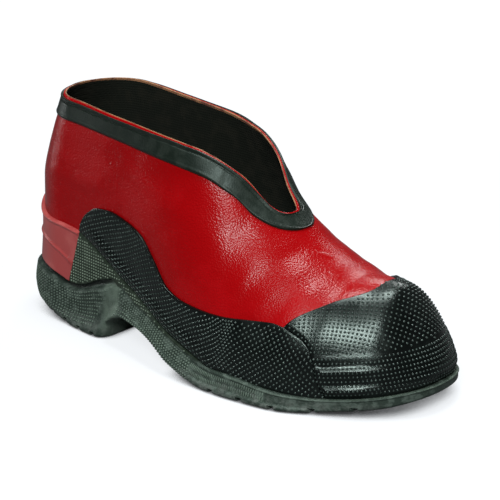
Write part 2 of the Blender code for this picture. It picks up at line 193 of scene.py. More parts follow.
# How far it stands proud of the bands: in all places, more at heel and ball, and less at the toe
PROUD = 0.2
HEEL_PROUD = 1.5
BALL_PROUD = 1.9
TOE_LESS = 0.4
HEEL_GROOVE = 3.1
# Rib across the stay, scoop in the heel's breast, and grooves across the tread
STAY_RIB = np.array(((0, 53), (20, 51.6), (40, 46.6), (55, 40.4), (62, 37.5)), float)
SCOOP_CENTRE = np.array((98.0, -1.5, 11.6))
SCOOP_RADII = (11.5, 38.0, 7.2)
GROOVE_WIDTH = 4.0
GROOVE_LENGTH = 160.0
GROOVE_DEPTH = 3.0
FORE_GROOVES = 172.0 + 20.5 * np.arange(6)
HEEL_GROOVES = 9.0 + 14.0 * np.arange(6)

# Toe cap: start of its tip, rows of dots on its bumper, the bumper's top and the middle of the toe box
CAP_TIP = 267.0
CAP_ROWS = 0.6 + 2.5 * np.arange(-1, 8)
CAP_BUMPER_TOP = 20.2
CAP_HEART = np.array((236.0, 4.0, 20.0))
# Studs: length, width and height, number of sides, and the top's share of the foot
DOT_SIZE = 1.8
CAP_DOT = (1.75, 1.75, 0.75)
PANEL_STUD = (1.5, 1.2, 0.7, 4, 0.6)
HEEL_STUD = (1.5, 1.3, 0.7, 4, 0.6)
SHANK_STUD = (1.5, 1.4, 0.7, 4, 0.55)
FORE_RIB = (0.8, 3.6, 0.5, 4, 0.5)
# Lattices: first and last place along, pitch, lowest and highest level, and rise
BAND_LATTICE = (-20, 224, 3.5, 1.9, 60, 1.75)
CAP_LATTICE = (-92, 92, 3.2, -76, 76, 1.6)
PANEL_LATTICE = (52, SHANK_END, 2.3, 12, 64, 1.9)
# The same on the sole's side, between ends that are worked out
HEEL_LEVELS = (2.3, 5.4, 24.6, 2.1)
SHANK_LEVELS = (2.2, 4.5, 29.0, 3.6)
FORE_LEVELS = (1.5, 14.0, 27.0, 8.0)


# Shape of the last

def smooth(table, station, column=1):
    """Monotone cubic through one column of a table whose first column is the place along it."""
    knots = table[:, 0]
    values = table[:, column]
    step = np.diff(knots)
    slope = np.diff(values) / step
    tangent = np.zeros(len(knots))
    tangent[0] = slope[0]
    tangent[-1] = slope[-1]
    for k in range(1, len(knots) - 1):
        if slope[k - 1] * slope[k] > 0:
            near = 2 * step[k] + step[k - 1]
            far = step[k] + 2 * step[k - 1]
            tangent[k] = (near + far) / (near / slope[k - 1] + far / slope[k])
    place = np.clip(station, knots[0], knots[-1])
    k = np.clip(np.searchsorted(knots, place, side="right") - 1, 0, len(step) - 1)
    t = (place - knots[k]) / step[k]
    start = (1 + 2 * t) * (1 - t) ** 2 * values[k] + t * (1 - t) ** 2 * step[k] * tangent[k]
    end = t * t * (3 - 2 * t) * values[k + 1] + t * t * (t - 1) * step[k] * tangent[k + 1]
    return start + end


def blend(value, start, end):
    """Soft step from 0 at start to 1 at end."""
    t = np.clip((value - start) / (end - start), 0, 1)
    return t * t * (3 - 2 * t)


def swell(value, centre, width):
    """Soft ridge of height 1 at a centre, gone at half its width to either side."""
    return 1 - blend(np.abs(value - centre), 0.0, width / 2)


def ridge(value, height, centre, width):
    """Soft ridge of a height."""
    return height * swell(value, centre, width)


def stretch(value, start, full, fade, end):
    """Soft rise from start to full, and soft fall from fade to end."""
    return blend(value, start, full) * (1 - blend(value, fade, end))


def plan_round(station, grow):
    back = np.clip((HEEL_ROUND - station) / (HEEL_ROUND + grow), 0, 1)
    front = np.clip((station - LENGTH + TOE_ROUND) / (TOE_ROUND + grow), 0, 1)
    return np.sqrt(1 - back ** 2) * (1 - front ** TOE_POWER) ** (1 / TOE_POWER)


def crest_height(station, grow):
    front = np.clip((station - LENGTH + TOE_RISE) / (TOE_RISE + grow), 0, 1)
    rise = (1 - front ** RISE_POWER) ** (1 / RISE_POWER)
    feather = smooth(LAST, station, FEATHER)
    return feather + (smooth(LAST, station, CREST) + grow - feather) * rise


def half_width(station, share, grow=0.0):
    raised = np.maximum(share, 0)
    rounding = np.clip(1 - raised ** smooth(LAST, station, FULLNESS), 0, 1) ** smooth(LAST, station, TAPER)
    return (smooth(LAST, station, HALF) + grow) * plan_round(station, grow) * rounding


def last_point(station, share, side, grow=0.0):
    """A point on the last grown by a thickness, as arrays of x, y and z.

    A share below 0 goes straight down from the feather line.
    """
    place = station + grow * (2 * station / LENGTH - 1)
    feather = smooth(LAST, place, FEATHER)
    height = feather + np.where(share < 0, DROP, crest_height(place, grow) - feather) * share
    lean = smooth(LEAN, height) * np.clip(1 - place / LEAN_REACH, 0, 1) ** 2
    across = smooth(LAST, place, MIDDLE) + side * half_width(place, share, grow)
    return np.array(np.broadcast_arrays(place + lean, across, height))


def share_at(station, height):
    feather = smooth(LAST, station, FEATHER)
    rise = np.maximum(crest_height(station, 0.0) - feather, TINY)
    return np.clip((height - feather) / np.where(height < feather, DROP, rise), -1, 1)


def share_across(station, width):
    rounding = np.clip(width / np.maximum(half_width(station, 0.0), TINY), 0, 1)
    return (1 - rounding ** (1 / smooth(LAST, station, TAPER))) ** (1 / smooth(LAST, station, FULLNESS))


def binding_foot(stations):
    """Share up the last of the binding's foot: its table, then round the throat, with the corner softened."""
    start, height = BINDING_FOOT[-1]

    def plain(places):
        closing = np.clip((BINDING_TIP - places) / (BINDING_TIP - start), 0, 1) ** THROAT_POWER
        reach = half_width(start, share_at(start, height)) * closing
        beside = share_at(places, smooth(BINDING_FOOT, places))
        return np.where(places < start, beside, share_across(places, reach))

    edge = plain(stations)
    spread = np.clip(BINDING_TIP - stations, 0, THROAT_ROUND)
    near = [plain(stations + part * spread) for part in np.linspace(-1, 1, 9)]
    return edge + (np.mean(near, axis=0) - edge) * swell(stations, centre=start, width=44.0)


def throat_edge(stations, edge, tip, ease=0.0):
    """Share up the last of an edge that follows its table and then the plan of the throat."""
    beside = share_at(stations, smooth(edge, stations))
    bend = np.clip(1 - (tip - stations) / THROAT_ROUND, 0, 1)
    width = (smooth(THROAT_PLAN, stations) + ease) * np.sqrt(1 - bend ** 2)
    return beside + (share_across(stations, width) - beside) * blend(stations, start=138, end=160)


# Rows along the shoe, an even distance apart round its outline

ROW_STEP = 1.4
CLOSING_START = 180.0
OUTLINE = (1 - np.cos(np.linspace(0, np.pi, 4001))) * LENGTH / 2
OUTLINE_STEPS = np.linalg.norm(np.diff(last_point(OUTLINE, 0.3, -1.0), axis=1), axis=0)
OUTLINE_RUN = np.concatenate(((0.0,), np.cumsum(OUTLINE_STEPS)))


def even_rows(start, end, step):
    first, last = np.interp((start, end), OUTLINE, OUTLINE_RUN)
    count = max(2, int(round((last - first) / step)) + 1)
    rows = np.interp(np.linspace(first, last, count), OUTLINE_RUN, OUTLINE)
    rows[0] = start
    rows[-1] = end
    return rows


def closing_rows(start, end, count):
    """Rows that close up towards the end."""
    return start + (end - start) * np.sin(np.linspace(0, np.pi / 2, count))


def joined(*rows):
    return np.unique(np.round(np.concatenate(rows), 5))


def collar_rows(end):
    """Rows from the heel to an end at the throat, where they close up."""
    return joined(even_rows(0, CLOSING_START, ROW_STEP), closing_rows(CLOSING_START, end, 30))


# Meshes

STUD_BATCH = 120
STUD_LIFT = 0.3
SHARP = np.radians(75)
RIM_MOST = 0.4
RIM_TURN = np.linspace(0, np.pi / 2, 5)


def lay_grid(bm, rows, columns, place):
    """Add a grid and lay it where place puts each row and column, in millimetres."""
    verts = bmesh.ops.create_grid(bm, x_segments=rows - 1, y_segments=columns - 1, size=0.5)["verts"]
    flat = np.array([vert.co for vert in verts]) + 0.5
    row = np.rint(flat[:, 0] * (rows - 1)).astype(int)
    column = np.rint(flat[:, 1] * (columns - 1)).astype(int)
    spots = (place(row, column).T - SHIFT) * MM
    for vert, spot in zip(verts, spots):
        vert.co = spot


def weld(bm):
    bmesh.ops.remove_doubles(bm, verts=bm.verts[:], dist=0.002 * MM)
    bmesh.ops.dissolve_degenerate(bm, edges=bm.edges[:], dist=0.002 * MM)
    bmesh.ops.recalc_face_normals(bm, faces=bm.faces[:])
    return bm


def across_band(length, fill, rim):
    """Places across a band from 0 at its foot to 1 at its top, closer in its rounded rims."""
    reach = np.minimum(rim / np.maximum(length, TINY), RIM_MOST)[:, None]
    foot = reach * (1 - np.cos(RIM_TURN))
    middle = reach + (1 - 2 * reach) * np.linspace(0, 1, fill)[1:-1]
    return np.concatenate((foot, middle, 1 - foot[:, ::-1]), axis=1)


def rim_round(distance, rim):
    return np.sqrt(1 - (1 - np.clip(distance / rim, 0, 1)) ** 2)


def wall(stations, low, high, inner, outer, fill, sides=(-1.0, 1.0), rim=0.8):
    """Closed rubber wall on the last from share low to share high, with rounded rims.

    high is one edge for both sides, or one for each. outer gives the thickness from the station, the
    height, the distances up from the foot and down from the top, and the side. The sides join at the
    heel, along the crest and at the toe.
    """
    bm = bmesh.new()
    for side, edge in zip(sides, np.broadcast_to(high, (len(sides), len(stations)))):
        bottom = np.arcsin(np.clip(low, -1, 1))
        top = np.arcsin(np.clip(np.maximum(low, edge), -1, 1))
        turn = bottom[:, None] + (top - bottom)[:, None] * np.linspace(0, 1, 17)
        section = last_point(stations[:, None], np.sin(turn), 1.0)
        length = np.linalg.norm(np.diff(section, axis=2), axis=0).sum(axis=1)
        across = across_band(length, fill, rim)
        for thick in (0.0, 1.0):
            def place(row, column):
                share = np.sin(bottom[row] + (top[row] - bottom[row]) * across[row, column])
                station = stations[row]
                height = last_point(station, share, side)[2]
                up = across[row, column] * length[row]
                down = np.where(edge[row] >= 1, LENGTH, length[row] - up)
                rounded = rim_round(np.minimum(up, down), rim)
                grow = inner + thick * rounded * outer(station, height, up, down, side)
                return last_point(station, share, side, grow)

            lay_grid(bm, len(stations), across.shape[1], place)
    return weld(bm)


def stud_stand(spot, along, up, length, width, height, square=False):
    """Matrix of one raised stud with its foot a little under the surface, sizes in millimetres.

    A square stud has its corners turned to the diagonals.
    """
    normal = along.cross(up).normalized()
    first = along.normalized() * length * MM / 2
    second = normal.cross(along).normalized() * width * MM / 2
    if square:
        first, second = first + second, second - first
    stand = Matrix((first, second, normal * height * MM)).transposed().to_4x4()
    stand.translation = spot + normal * height * MM * STUD_LIFT
    return stand


def add_studs(bm, stands, sides, top):
    """Add a stud at each matrix, a few at a time, since an operator slows down as its mesh grows.

    The layer "raised" is 1 on the studs' tops, where the finish paints a highlight.
    """
    mesh = bpy.data.meshes.new("studs")
    if "raised" not in bm.verts.layers.float:
        bm.verts.layers.float.new("raised")
    for start in range(0, len(stands), STUD_BATCH):
        few = bmesh.new()
        raised = few.verts.layers.float.new("raised")
        for stand in stands[start:start + STUD_BATCH]:
            made = bmesh.ops.create_cone(
                few, cap_ends=True, segments=sides, radius1=1.0, radius2=top, depth=1.0, matrix=stand,
            )
            for vert in made["verts"]:
                vert[raised] = (vert.co - stand.translation).dot(stand.col[2].xyz) > 0
        few.to_mesh(mesh)
        few.free()
        bm.from_mesh(mesh)
    bpy.data.meshes.remove(mesh)


def studs_on(bm, surface, first, second, turn, length, width, height, sides, top):
    """Studs at places on a surface of two coordinates; turn is -1 where the two run clockwise."""
    reach = 0.4
    spots = (surface(first, second).T - SHIFT) * MM
    ahead = turn * (surface(first + reach, second) - surface(first - reach, second)).T
    above = (surface(first, second + reach) - surface(first, second - reach)).T
    sizes = np.stack(np.broadcast_arrays(length, width, height + 0 * first), axis=1)
    stands = [
        stud_stand(Vector(spot), Vector(along), Vector(up), *size, sides == 4)
        for spot, along, up, size in zip(spots, ahead, above, sizes)
    ]
    add_studs(bm, stands, sides, top)


def staggered(first, last, pitch, low, high, rise):
    """Places of a lattice whose rows are set half a pitch over from one another."""
    rows = np.arange(low, high, rise)
    places = []
    for number, level in enumerate(rows):
        line = np.arange(first + pitch / 2 * (number % 2), last, pitch)
        places.append(np.stack((line, np.full(len(line), level))))
    return np.concatenate(places, axis=1)


def squared(first, last, pitch, low, high, rise):
    """Places of a square lattice."""
    line, level = np.meshgrid(np.arange(first, last, pitch), np.arange(low, high, rise))
    return np.stack((line.ravel(), level.ravel()))


def show(name, bm):
    """Put a finished mesh in the scene."""
    mesh = bpy.data.meshes.new(name)
    bm.to_mesh(mesh)
    bm.free()
    obj = bpy.data.objects.new(name, mesh)
    bpy.context.scene.collection.objects.link(obj)
    return obj


def piece(name, bm, material, slot, *nodes):
    """Show a mesh as a piece of the shoe that stands for CAD nodes."""
    obj = show(name, bm)
    obj.data.shade_smooth()
    obj.data.set_sharp_from_angle(angle=SHARP)
    obj.data.materials.append(material)
    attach(obj, "root")
    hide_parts(*nodes)


# Finishes

FLOAT = "NodeSocketFloat"
COLOUR = "NodeSocketColor"
BLACK = (0, 0, 0, 1)
PLAIN_SHEEN = (1, 1, 1, 1)
DARK_SHEEN = (0.80, 1.0, 0.93, 1)
# Each finish: clean and worn colour, size and level of the worn patches, roughness of both, and shine
FINISHES = {
    "red_rubber_grained": ((0.265, 0.0006, 0.0016), (0.30, 0.0009, 0.0024), 0.05, 0.45, (0.24, 0.32), 0.15),
    # The stay's pale pink is partly its own tone and partly a painted sheen
    "red_rubber_smooth": ((0.36, 0.048, 0.046), (0.42, 0.078, 0.072), 0.03, 0.45, (0.4, 0.5), 0.6),
    "black_rubber_dotted": ((0.002, 0.0028, 0.0025), (0.004, 0.0055, 0.005), 0.02, 0.48, (0.22, 0.32), 0.34),
    "black_rubber_knurled": ((0.020, 0.030, 0.020), (0.034, 0.048, 0.034), 0.012, 0.46, (0.4, 0.55), 0.2),
    "black_rubber_sole": ((0.027, 0.040, 0.032), (0.074, 0.100, 0.084), 0.006, 0.47, (0.38, 0.62), 0.2),
    "black_rubber_binding": ((0.005, 0.009, 0.006), (0.010, 0.015, 0.011), 0.007, 0.46, (0.42, 0.5), 0.3),
    "black_knit_lining": ((0.004, 0.006, 0.003), (0.008, 0.009, 0.005), 0.01, 0.45, (0.85, 0.95), 0.25),
    "tan_raw_edge": ((0.27, 0.13, 0.060), (0.12, 0.040, 0.022), 0.010, 0.46, (0.75, 0.9), 0.5),
}
# Grain: pebble size, share of fine noise, depth and strength
GRAIN = {
    "red_rubber_smooth": (0.0008, 0.6, 0.0002, 0.2),
    "black_rubber_dotted": (0.0006, 0.6, 0.0002, 0.25),
    "black_rubber_knurled": (0.0005, 0.8, 0.0002, 0.3),
    "black_rubber_sole": (0.0012, 1.2, 0.0004, 0.45),
    "black_rubber_binding": (0.0012, 0.5, 0.0002, 0.25),
}
# Painted highlight on the stud tops, and on places of the sole marked the same way: colour, and how close the
# spots are
PAINTED_HIGHLIGHT = {
    "black_rubber_dotted": ((0.044, 0.064, 0.056, 1), 90.0),
    "black_rubber_knurled": ((0.20, 0.265, 0.20, 1), 120.0),
    "black_rubber_sole": ((0.125, 0.172, 0.135, 1), 120.0),
}


def place_node(tree, kind, settings=None, **sockets):
    """Add a node to a tree. Each socket named gets a value, or a wire from another socket."""
    node = tree.nodes.new(kind)
    for name, value in (settings or {}).items():
        setattr(node, name, value)
    for name, value in sockets.items():
        feed(tree, node.inputs[name.replace("_", " ")], value)
    return node


def feed(tree, socket, value):
    if isinstance(value, bpy.types.NodeSocket):
        tree.links.new(value, socket)
    else:
        socket.default_value = value


def calculate(tree, operation, *values):
    node = tree.nodes.new("ShaderNodeMath")
    node.operation = operation
    for socket, value in zip(node.inputs, values):
        feed(tree, socket, value)
    return node.outputs["Value"]


def soft_step(tree, value, start, end, low=0.0, high=1.0):
    node = place_node(
        tree, "ShaderNodeMapRange", {"interpolation_type": "SMOOTHSTEP"},
        Value=value, From_Min=start, From_Max=end, To_Min=low, To_Max=high,
    )
    return node.outputs["Result"]


def mix_colour(tree, factor, first, second):
    node = tree.nodes.new("ShaderNodeMix")
    node.data_type = "RGBA"
    colours = [socket for socket in node.inputs if socket.type == "RGBA"]
    feed(tree, node.inputs["Factor"], factor)
    feed(tree, colours[0], first)
    feed(tree, colours[1], second)
    return [socket for socket in node.outputs if socket.type == "RGBA"][0]


def noise(tree, spot, scale, detail=3.0, roughness=0.5):
    node = place_node(
        tree, "ShaderNodeTexNoise", Vector=spot, Scale=scale, Detail=detail, Roughness=roughness,
    )
    return node.outputs[0]


def own_place(tree):
    return tree.nodes.new("ShaderNodeTexCoord").outputs["Object"]


def new_group(name, outputs, **inputs):
    """A shader node group with named sockets and their values; returns its tree and its two ends."""
    tree = bpy.data.node_groups.new(name, "ShaderNodeTree")
    for label, value in inputs.items():
        kind = COLOUR if isinstance(value, tuple) else FLOAT
        socket = tree.interface.new_socket(name=label.replace("_", " "), in_out="INPUT", socket_type=kind)
        socket.default_value = value
    for label in outputs:
        kind = COLOUR if label == "Color" else FLOAT
        tree.interface.new_socket(name=label, in_out="OUTPUT", socket_type=kind)
    return tree, tree.nodes.new("NodeGroupInput").outputs, tree.nodes.new("NodeGroupOutput").inputs


def pebble_group():
    """Leather-like grain: rounded pebbles of a size, in fine noise."""
    tree, given, result = new_group("pebble_grain", ("Height",), Pebble_Size=0.001, Fine_Share=0.2)
    spot = own_place(tree)
    scale = calculate(tree, "DIVIDE", 1.0, given["Pebble Size"])
    cells = place_node(
        tree, "ShaderNodeTexVoronoi", {"feature": "SMOOTH_F1"}, Vector=spot, Scale=scale, Smoothness=0.35,
    ).outputs["Distance"]
    fine = noise(tree, spot, calculate(tree, "MULTIPLY", scale, 2.3), 2.0)
    domes = calculate(tree, "SUBTRACT", 1.0, cells)
    feed(tree, result["Height"], calculate(tree, "MULTIPLY_ADD", fine, given["Fine Share"], domes))


def handled_group():
    """Patches where rubber has gone dull and pale from handling."""
    tree, given, result = new_group(
        "handled_patches", ("Color", "Roughness"), Clean=BLACK, Worn=BLACK, Patch_Size=0.02, Worn_Level=0.55,
        Clean_Roughness=0.3, Worn_Roughness=0.5,
    )
    spot = own_place(tree)
    scale = calculate(tree, "DIVIDE", 1.0, given["Patch Size"])
    patches = noise(tree, spot, scale, 6.0, 0.62)
    edge = calculate(tree, "ADD", given["Worn Level"], 0.16)
    worn = soft_step(tree, patches, given["Worn Level"], edge)
    feed(tree, result["Color"], mix_colour(tree, worn, given["Clean"], given["Worn"]))
    feed(tree, result["Roughness"], soft_step(
        tree, patches, given["Worn Level"], edge, given["Clean Roughness"], given["Worn Roughness"],
    ))


def ground_dust_group():
    """Pale dust that fades with height above the ground."""
    tree, given, result = new_group("ground_dust", ("Color",), Color=BLACK, Dust=BLACK, Reach=0.02)
    spot = own_place(tree)
    height = place_node(tree, "ShaderNodeSeparateXYZ", Vector=spot).outputs["Z"]
    low = soft_step(tree, height, 0.0, given["Reach"], 1.0, 0.0)
    streaks = soft_step(tree, noise(tree, spot, 190.0, 7.0, 0.7), 0.42, 0.68)
    share = calculate(tree, "MULTIPLY", low, streaks)
    feed(tree, result["Color"], mix_colour(tree, share, given["Color"], given["Dust"]))


def painted_highlight_group():
    """Paler tops of the studs: a painted highlight."""
    tree, given, result = new_group("painted_highlight_tops", ("Color",), Color=BLACK, Rubbed=BLACK, Spots=150.0)
    raised = place_node(tree, "ShaderNodeAttribute", {"attribute_name": "raised"}).outputs["Fac"]
    uneven = soft_step(tree, noise(tree, own_place(tree), given["Spots"], 3.0), 0.3, 0.7, 0.55, 1.0)
    share = calculate(tree, "MULTIPLY", soft_step(tree, raised, 0.3, 1.0), uneven)
    feed(tree, result["Color"], mix_colour(tree, share, given["Color"], given["Rubbed"]))


def finish(name, **constants):
    """A material whose shader has plain values; returns it with its tree and shader."""
    material = bpy.data.materials.new(name)
    material.use_nodes = True
    tree = material.node_tree
    shader = tree.nodes["Principled BSDF"]
    for label, value in constants.items():
        shader.inputs[label.replace("_", " ")].default_value = value
    return material, tree, shader.inputs


def use_group(tree, name, **values):
    return place_node(tree, "ShaderNodeGroup", {"node_tree": bpy.data.node_groups[name]}, **values).outputs


def bumped(tree, sockets, height, depth, strength):
    bump = place_node(tree, "ShaderNodeBump", Strength=strength, Distance=depth, Height=height)
    feed(tree, sockets["Normal"], bump.outputs["Normal"])


def handled(name):
    """A material with handled patches; returns it with its tree, its shader's sockets and its colour."""
    clean, worn, patch, level, roughness, shine = FINISHES[name]
    tint = DARK_SHEEN if name.startswith("black_rubber") else PLAIN_SHEEN
    material, tree, sockets = finish(name, Specular_IOR_Level=shine, Specular_Tint=tint)
    result = use_group(
        tree, "handled_patches", Clean=(*clean, 1), Worn=(*worn, 1), Patch_Size=patch, Worn_Level=level,
        Clean_Roughness=roughness[0], Worn_Roughness=roughness[1],
    )
    feed(tree, sockets["Base Color"], result["Color"])
    feed(tree, sockets["Roughness"], result["Roughness"])
    return material, tree, sockets, result["Color"]


def rubber(name):
    """A grained rubber, with a painted highlight on the stud tops where the table has them; returns what
    handled does.
    """
    material, tree, sockets, colour = handled(name)
    if name in PAINTED_HIGHLIGHT:
        # paler colour for the stud tops: a painted highlight
        pale, spots = PAINTED_HIGHLIGHT[name]
        colour = use_group(tree, "painted_highlight_tops", Color=colour, Rubbed=pale, Spots=spots)["Color"]
        feed(tree, sockets["Base Color"], colour)
    size, fine, depth, strength = GRAIN[name]
    grain = use_group(tree, "pebble_grain", Pebble_Size=size, Fine_Share=fine)["Height"]
    bumped(tree, sockets, grain, depth, strength)
    return material, tree, sockets, colour


def red_rubber():
    """The upper's rubber: leather-like grain with pimples, and slow waves."""
    material, tree, sockets, _ = handled("red_rubber_grained")
    grain = use_group(tree, "pebble_grain", Pebble_Size=0.0011, Fine_Share=0.2)["Height"]
    spot = own_place(tree)
    pimples = place_node(tree, "ShaderNodeTexVoronoi", Vector=spot, Scale=70.0).outputs["Distance"]
    pimples = soft_step(tree, pimples, 0.02, 0.09, 1.6, 0.0)
    waves = noise(tree, spot, 55.0, 2.0)
    height = calculate(tree, "MULTIPLY_ADD", waves, 0.12, calculate(tree, "ADD", grain, pimples))
    bumped(tree, sockets, height, 0.0004, 0.38)
    return material


def sole_rubber():
    """The sole's rubber: ground dust over the studs' painted highlight, and painted shade in the heel's
    groove.
    """
    material, tree, sockets, colour = rubber("black_rubber_sole")
    dusty = use_group(tree, "ground_dust", Color=colour, Dust=(0.12, 0.14, 0.125, 1), Reach=0.012)["Color"]
    # painted shade: the groove marked sunk is painted near black
    sunk = place_node(tree, "ShaderNodeAttribute", {"attribute_name": "sunk"}).outputs["Fac"]
    feed(tree, sockets["Base Color"], mix_colour(tree, sunk, dusty, (0.001, 0.002, 0.001, 1)))
    return material


def knit_height(tree):
    """Height of a fine knit: rows of loops along and up the wall."""
    spot = own_place(tree)
    along, up = (
        place_node(
            tree, "ShaderNodeTexWave", {"wave_type": "BANDS", "bands_direction": direction},
            Vector=spot, Scale=190.0, Distortion=1.5, Detail=1.0,
        ).outputs["Fac"]
        for direction in "XZ"
    )
    return calculate(tree, "MAXIMUM", along, up)


def knitted(name, depth):
    material, tree, sockets, _ = handled(name)
    bumped(tree, sockets, knit_height(tree), depth, 0.6)
    return material


# Pieces

UPPER_ROWS = joined(collar_rows(THROAT), even_rows(THROAT, LENGTH, ROW_STEP))

# Creases of the upper on each side: width and depth, and a line of stations and shares
CREASES = {
    -1.0: (
        (3.0, 0.45, ((223, 0.982), (226, 0.992), (229, 0.998))),
        (15.0, -0.40, ((203, 0.52), (207, 0.68), (212, 0.84), (217, 0.95))),
        (12.0, 0.25, ((212, 0.50), (216, 0.66), (221, 0.82), (226, 0.93))),
        (13.0, -0.30, ((222, 0.50), (226, 0.66), (231, 0.84), (236, 0.96))),
        (26.0, -0.45, ((196, 0.80), (180, 0.66), (160, 0.56), (138, 0.50), (112, 0.47))),
        (22.0, -0.30, ((16, 0.40), (40, 0.385), (66, 0.39), (90, 0.42))),
        (16.0, 0.30, ((30, 0.31), (52, 0.30), (76, 0.31))),
    ),
    1.0: (
        (16.0, -0.40, ((202, 0.55), (206, 0.70), (211, 0.85), (216, 0.95))),
        (13.0, -0.30, ((220, 0.52), (225, 0.70), (230, 0.86), (234, 0.96))),
        (26.0, -0.45, ((194, 0.78), (178, 0.64), (158, 0.55), (134, 0.50), (110, 0.46))),
        (22.0, -0.30, ((16, 0.41), (42, 0.39), (70, 0.395), (94, 0.43))),
    ),
}


def crease_relief(station, height, side):
    """Soft troughs and ridges of the upper at a height on one side."""
    spot = last_point(station, share_at(station, height), side)
    relief = 0 * station
    for width, depth, line in CREASES[side]:
        points = last_point(*np.array(line, float).T, side).T[:, :, None]
        near = np.inf
        for start, end in zip(points[:-1], points[1:]):
            run = end - start
            part = np.clip(((spot - start) * run).sum(axis=0) / (run * run).sum(), 0, 1)
            near = np.minimum(near, np.linalg.norm(spot - start - run * part, axis=0))
        relief = relief + depth * swell(near, 0.0, width)
    return relief


def even(thickness):
    """The outer face of a wall of one thickness."""
    return lambda station, *others: thickness + 0 * station


def upper_skin():
    high = throat_edge(UPPER_ROWS, COLLAR, THROAT)

    def outer(station, height, up, down, side):
        return SKIN + crease_relief(station, height, side)

    return wall(UPPER_ROWS, 0 * UPPER_ROWS, high, -SKIN, outer, fill=70, rim=0.5)


def lining():
    high = throat_edge(UPPER_ROWS, COLLAR - (0.0, 0.5), THROAT - 0.4, ease=0.2)
    return wall(UPPER_ROWS, 0 * UPPER_ROWS, high, -WALL, even(LINING), fill=40, rim=0.3)


def lining_edge():
    """The lining's raw edge, which shows a little above the collar."""
    end = THROAT - 0.1
    rows = collar_rows(end)
    high = throat_edge(rows, COLLAR + (0.0, 0.8), THROAT, ease=-0.3)
    low = throat_edge(rows, COLLAR - (0.0, 1.5), end, ease=0.6)
    return wall(rows, low, high, -WALL + 0.05, even(1.0), fill=6, rim=0.35)


def collar_binding():
    """The binding: its top edge is lower along the right side, and it laps over itself beside the throat."""
    rows = joined(collar_rows(BINDING_LIP), closing_rows(BINDING_LIP, BINDING_TIP, 18))
    low = binding_foot(rows)
    left = throat_edge(rows, BINDING_TOP + (0.0, 0.9), BINDING_LIP, ease=0.5)
    right = throat_edge(rows, BINDING_TOP + (0.0, 0.3), BINDING_LIP, ease=0.5)
    right = left + (right - left) * stretch(rows, start=2, full=30, fade=150, end=175)

    def outer(station, height, up, down, side):
        bead = ridge(down, height=0.45, centre=1.0, width=2.4)
        groove = ridge(down, height=0.55, centre=2.7, width=1.5)
        foot = ridge(up, height=0.25, centre=1.2, width=3.0)
        lap = 0.4 * stretch(station, start=150, full=172, fade=172.2, end=172.8) * (side < 0)
        return BAND + bead - groove + foot + lap

    return wall(rows, low, (right, left), SHELL, outer, fill=30)


def sole_top(station):
    """Height of the sole's top edge."""
    feather = smooth(LAST, station, FEATHER) + SOLE_LIP - smooth(SKIRT, station)
    cupped = 1 - blend(station, CREASE_END - CREASE_FADE, CREASE_END)
    return feather + (smooth(CREASE, station) - feather) * cupped


def band_foot(station):
    """The lowest that a band goes: behind the sole's top edge, or the feather line where that is lower."""
    return np.minimum(smooth(LAST, station, FEATHER), sole_top(station) - BAND_TUCK)


def heel_seam(station):
    """Lower edge of the stay and the panels, which hang over a groove in the top of the heel block."""
    foot = band_foot(station)
    return foot + (sole_top(station) - SEAM_GAP - foot) * (1 - blend(station, start=94, end=108))


def foxing_foot(station):
    return smooth(FOXING_FOOT, station) - smooth(SKIRT, station)


def foxing_top(station):
    front = np.where(station < CAP_SEAM[0, 0], np.inf, smooth(CAP_SEAM, station))
    return np.minimum(smooth(FOXING_TOP, station), front)


def foxing_ridge(station, height):
    """The rounded thickening of the side band along its slanting edge."""
    above = height - foxing_foot(station)
    ends = stretch(station, start=62, full=85, fade=165, end=200)
    return ends * ridge(above, height=1.3, centre=4.5, width=15.0)


def beside_foot(run, away):
    """Station and height of places beside the slanting edge: along it, and square to it."""
    stations = np.linspace(*FOXING_FOOT[(0, -1), 0], 900)
    heights = foxing_foot(stations)
    runs = np.concatenate(((0.0,), np.cumsum(np.hypot(np.diff(stations), np.diff(heights)))))
    reach = 12.0
    slope = (foxing_foot(stations + reach) - foxing_foot(stations - reach)) / (2 * reach)
    station = np.interp(run, runs, stations) + 0 * away
    slope = np.interp(station, stations, slope)
    tilt = np.hypot(1.0, slope)
    spare = run - np.clip(run, 0, runs[-1])
    return station + spare - away * slope / tilt, foxing_foot(station) + away / tilt


def foxing(side):
    rows = joined(
        FOXING_TOP[:, 0], even_rows(FOXING_TOP[0, 0], CAP_SEAM[0, 0], ROW_STEP),
        even_rows(CAP_SEAM[0, 0], FOXING_TOP[-1, 0], 0.8),
    )

    def outer(station, height, up, down, this_side):
        return BAND + foxing_ridge(station, height)

    def face(station, height):
        grow = BAND_FACE + foxing_ridge(station, height)
        return last_point(station, share_at(station, height), side, grow)

    low = share_at(rows, np.maximum(foxing_foot(rows), band_foot(rows)))
    high = share_at(rows, foxing_top(rows))
    bm = wall(rows, low, high, SHELL, outer, fill=30, sides=(side,), rim=0.4)
    run, away = staggered(*BAND_LATTICE)
    station, height = beside_foot(run, away)
    inside = (station > FOXING_TOP[0, 0] + 1.2) & (station < FOXING_TOP[-1, 0])
    inside &= (height > foxing_foot(station) + 0.9) & (height < foxing_top(station) - 1.3)
    inside &= height > sole_top(station) + 0.4
    run, away, station, height = run[inside], away[inside], station[inside], height[inside]
    drawn = stretch(station, start=88, full=104, fade=160, end=182) * (1 - blend(away, start=4, end=9))

    def beside(along, out):
        return face(*beside_foot(along, out))

    length = DOT_SIZE + 1.6 * drawn
    width = DOT_SIZE - 0.5 * drawn
    studs_on(bm, beside, run, away, -side, length, width, height=0.6, sides=8, top=0.5)
    return bm


def shank_top(station):
    back = np.where(station > STAY_FRONT[1, 0], np.inf, smooth(STAY_FRONT, station))
    return np.minimum(foxing_foot(station), back)


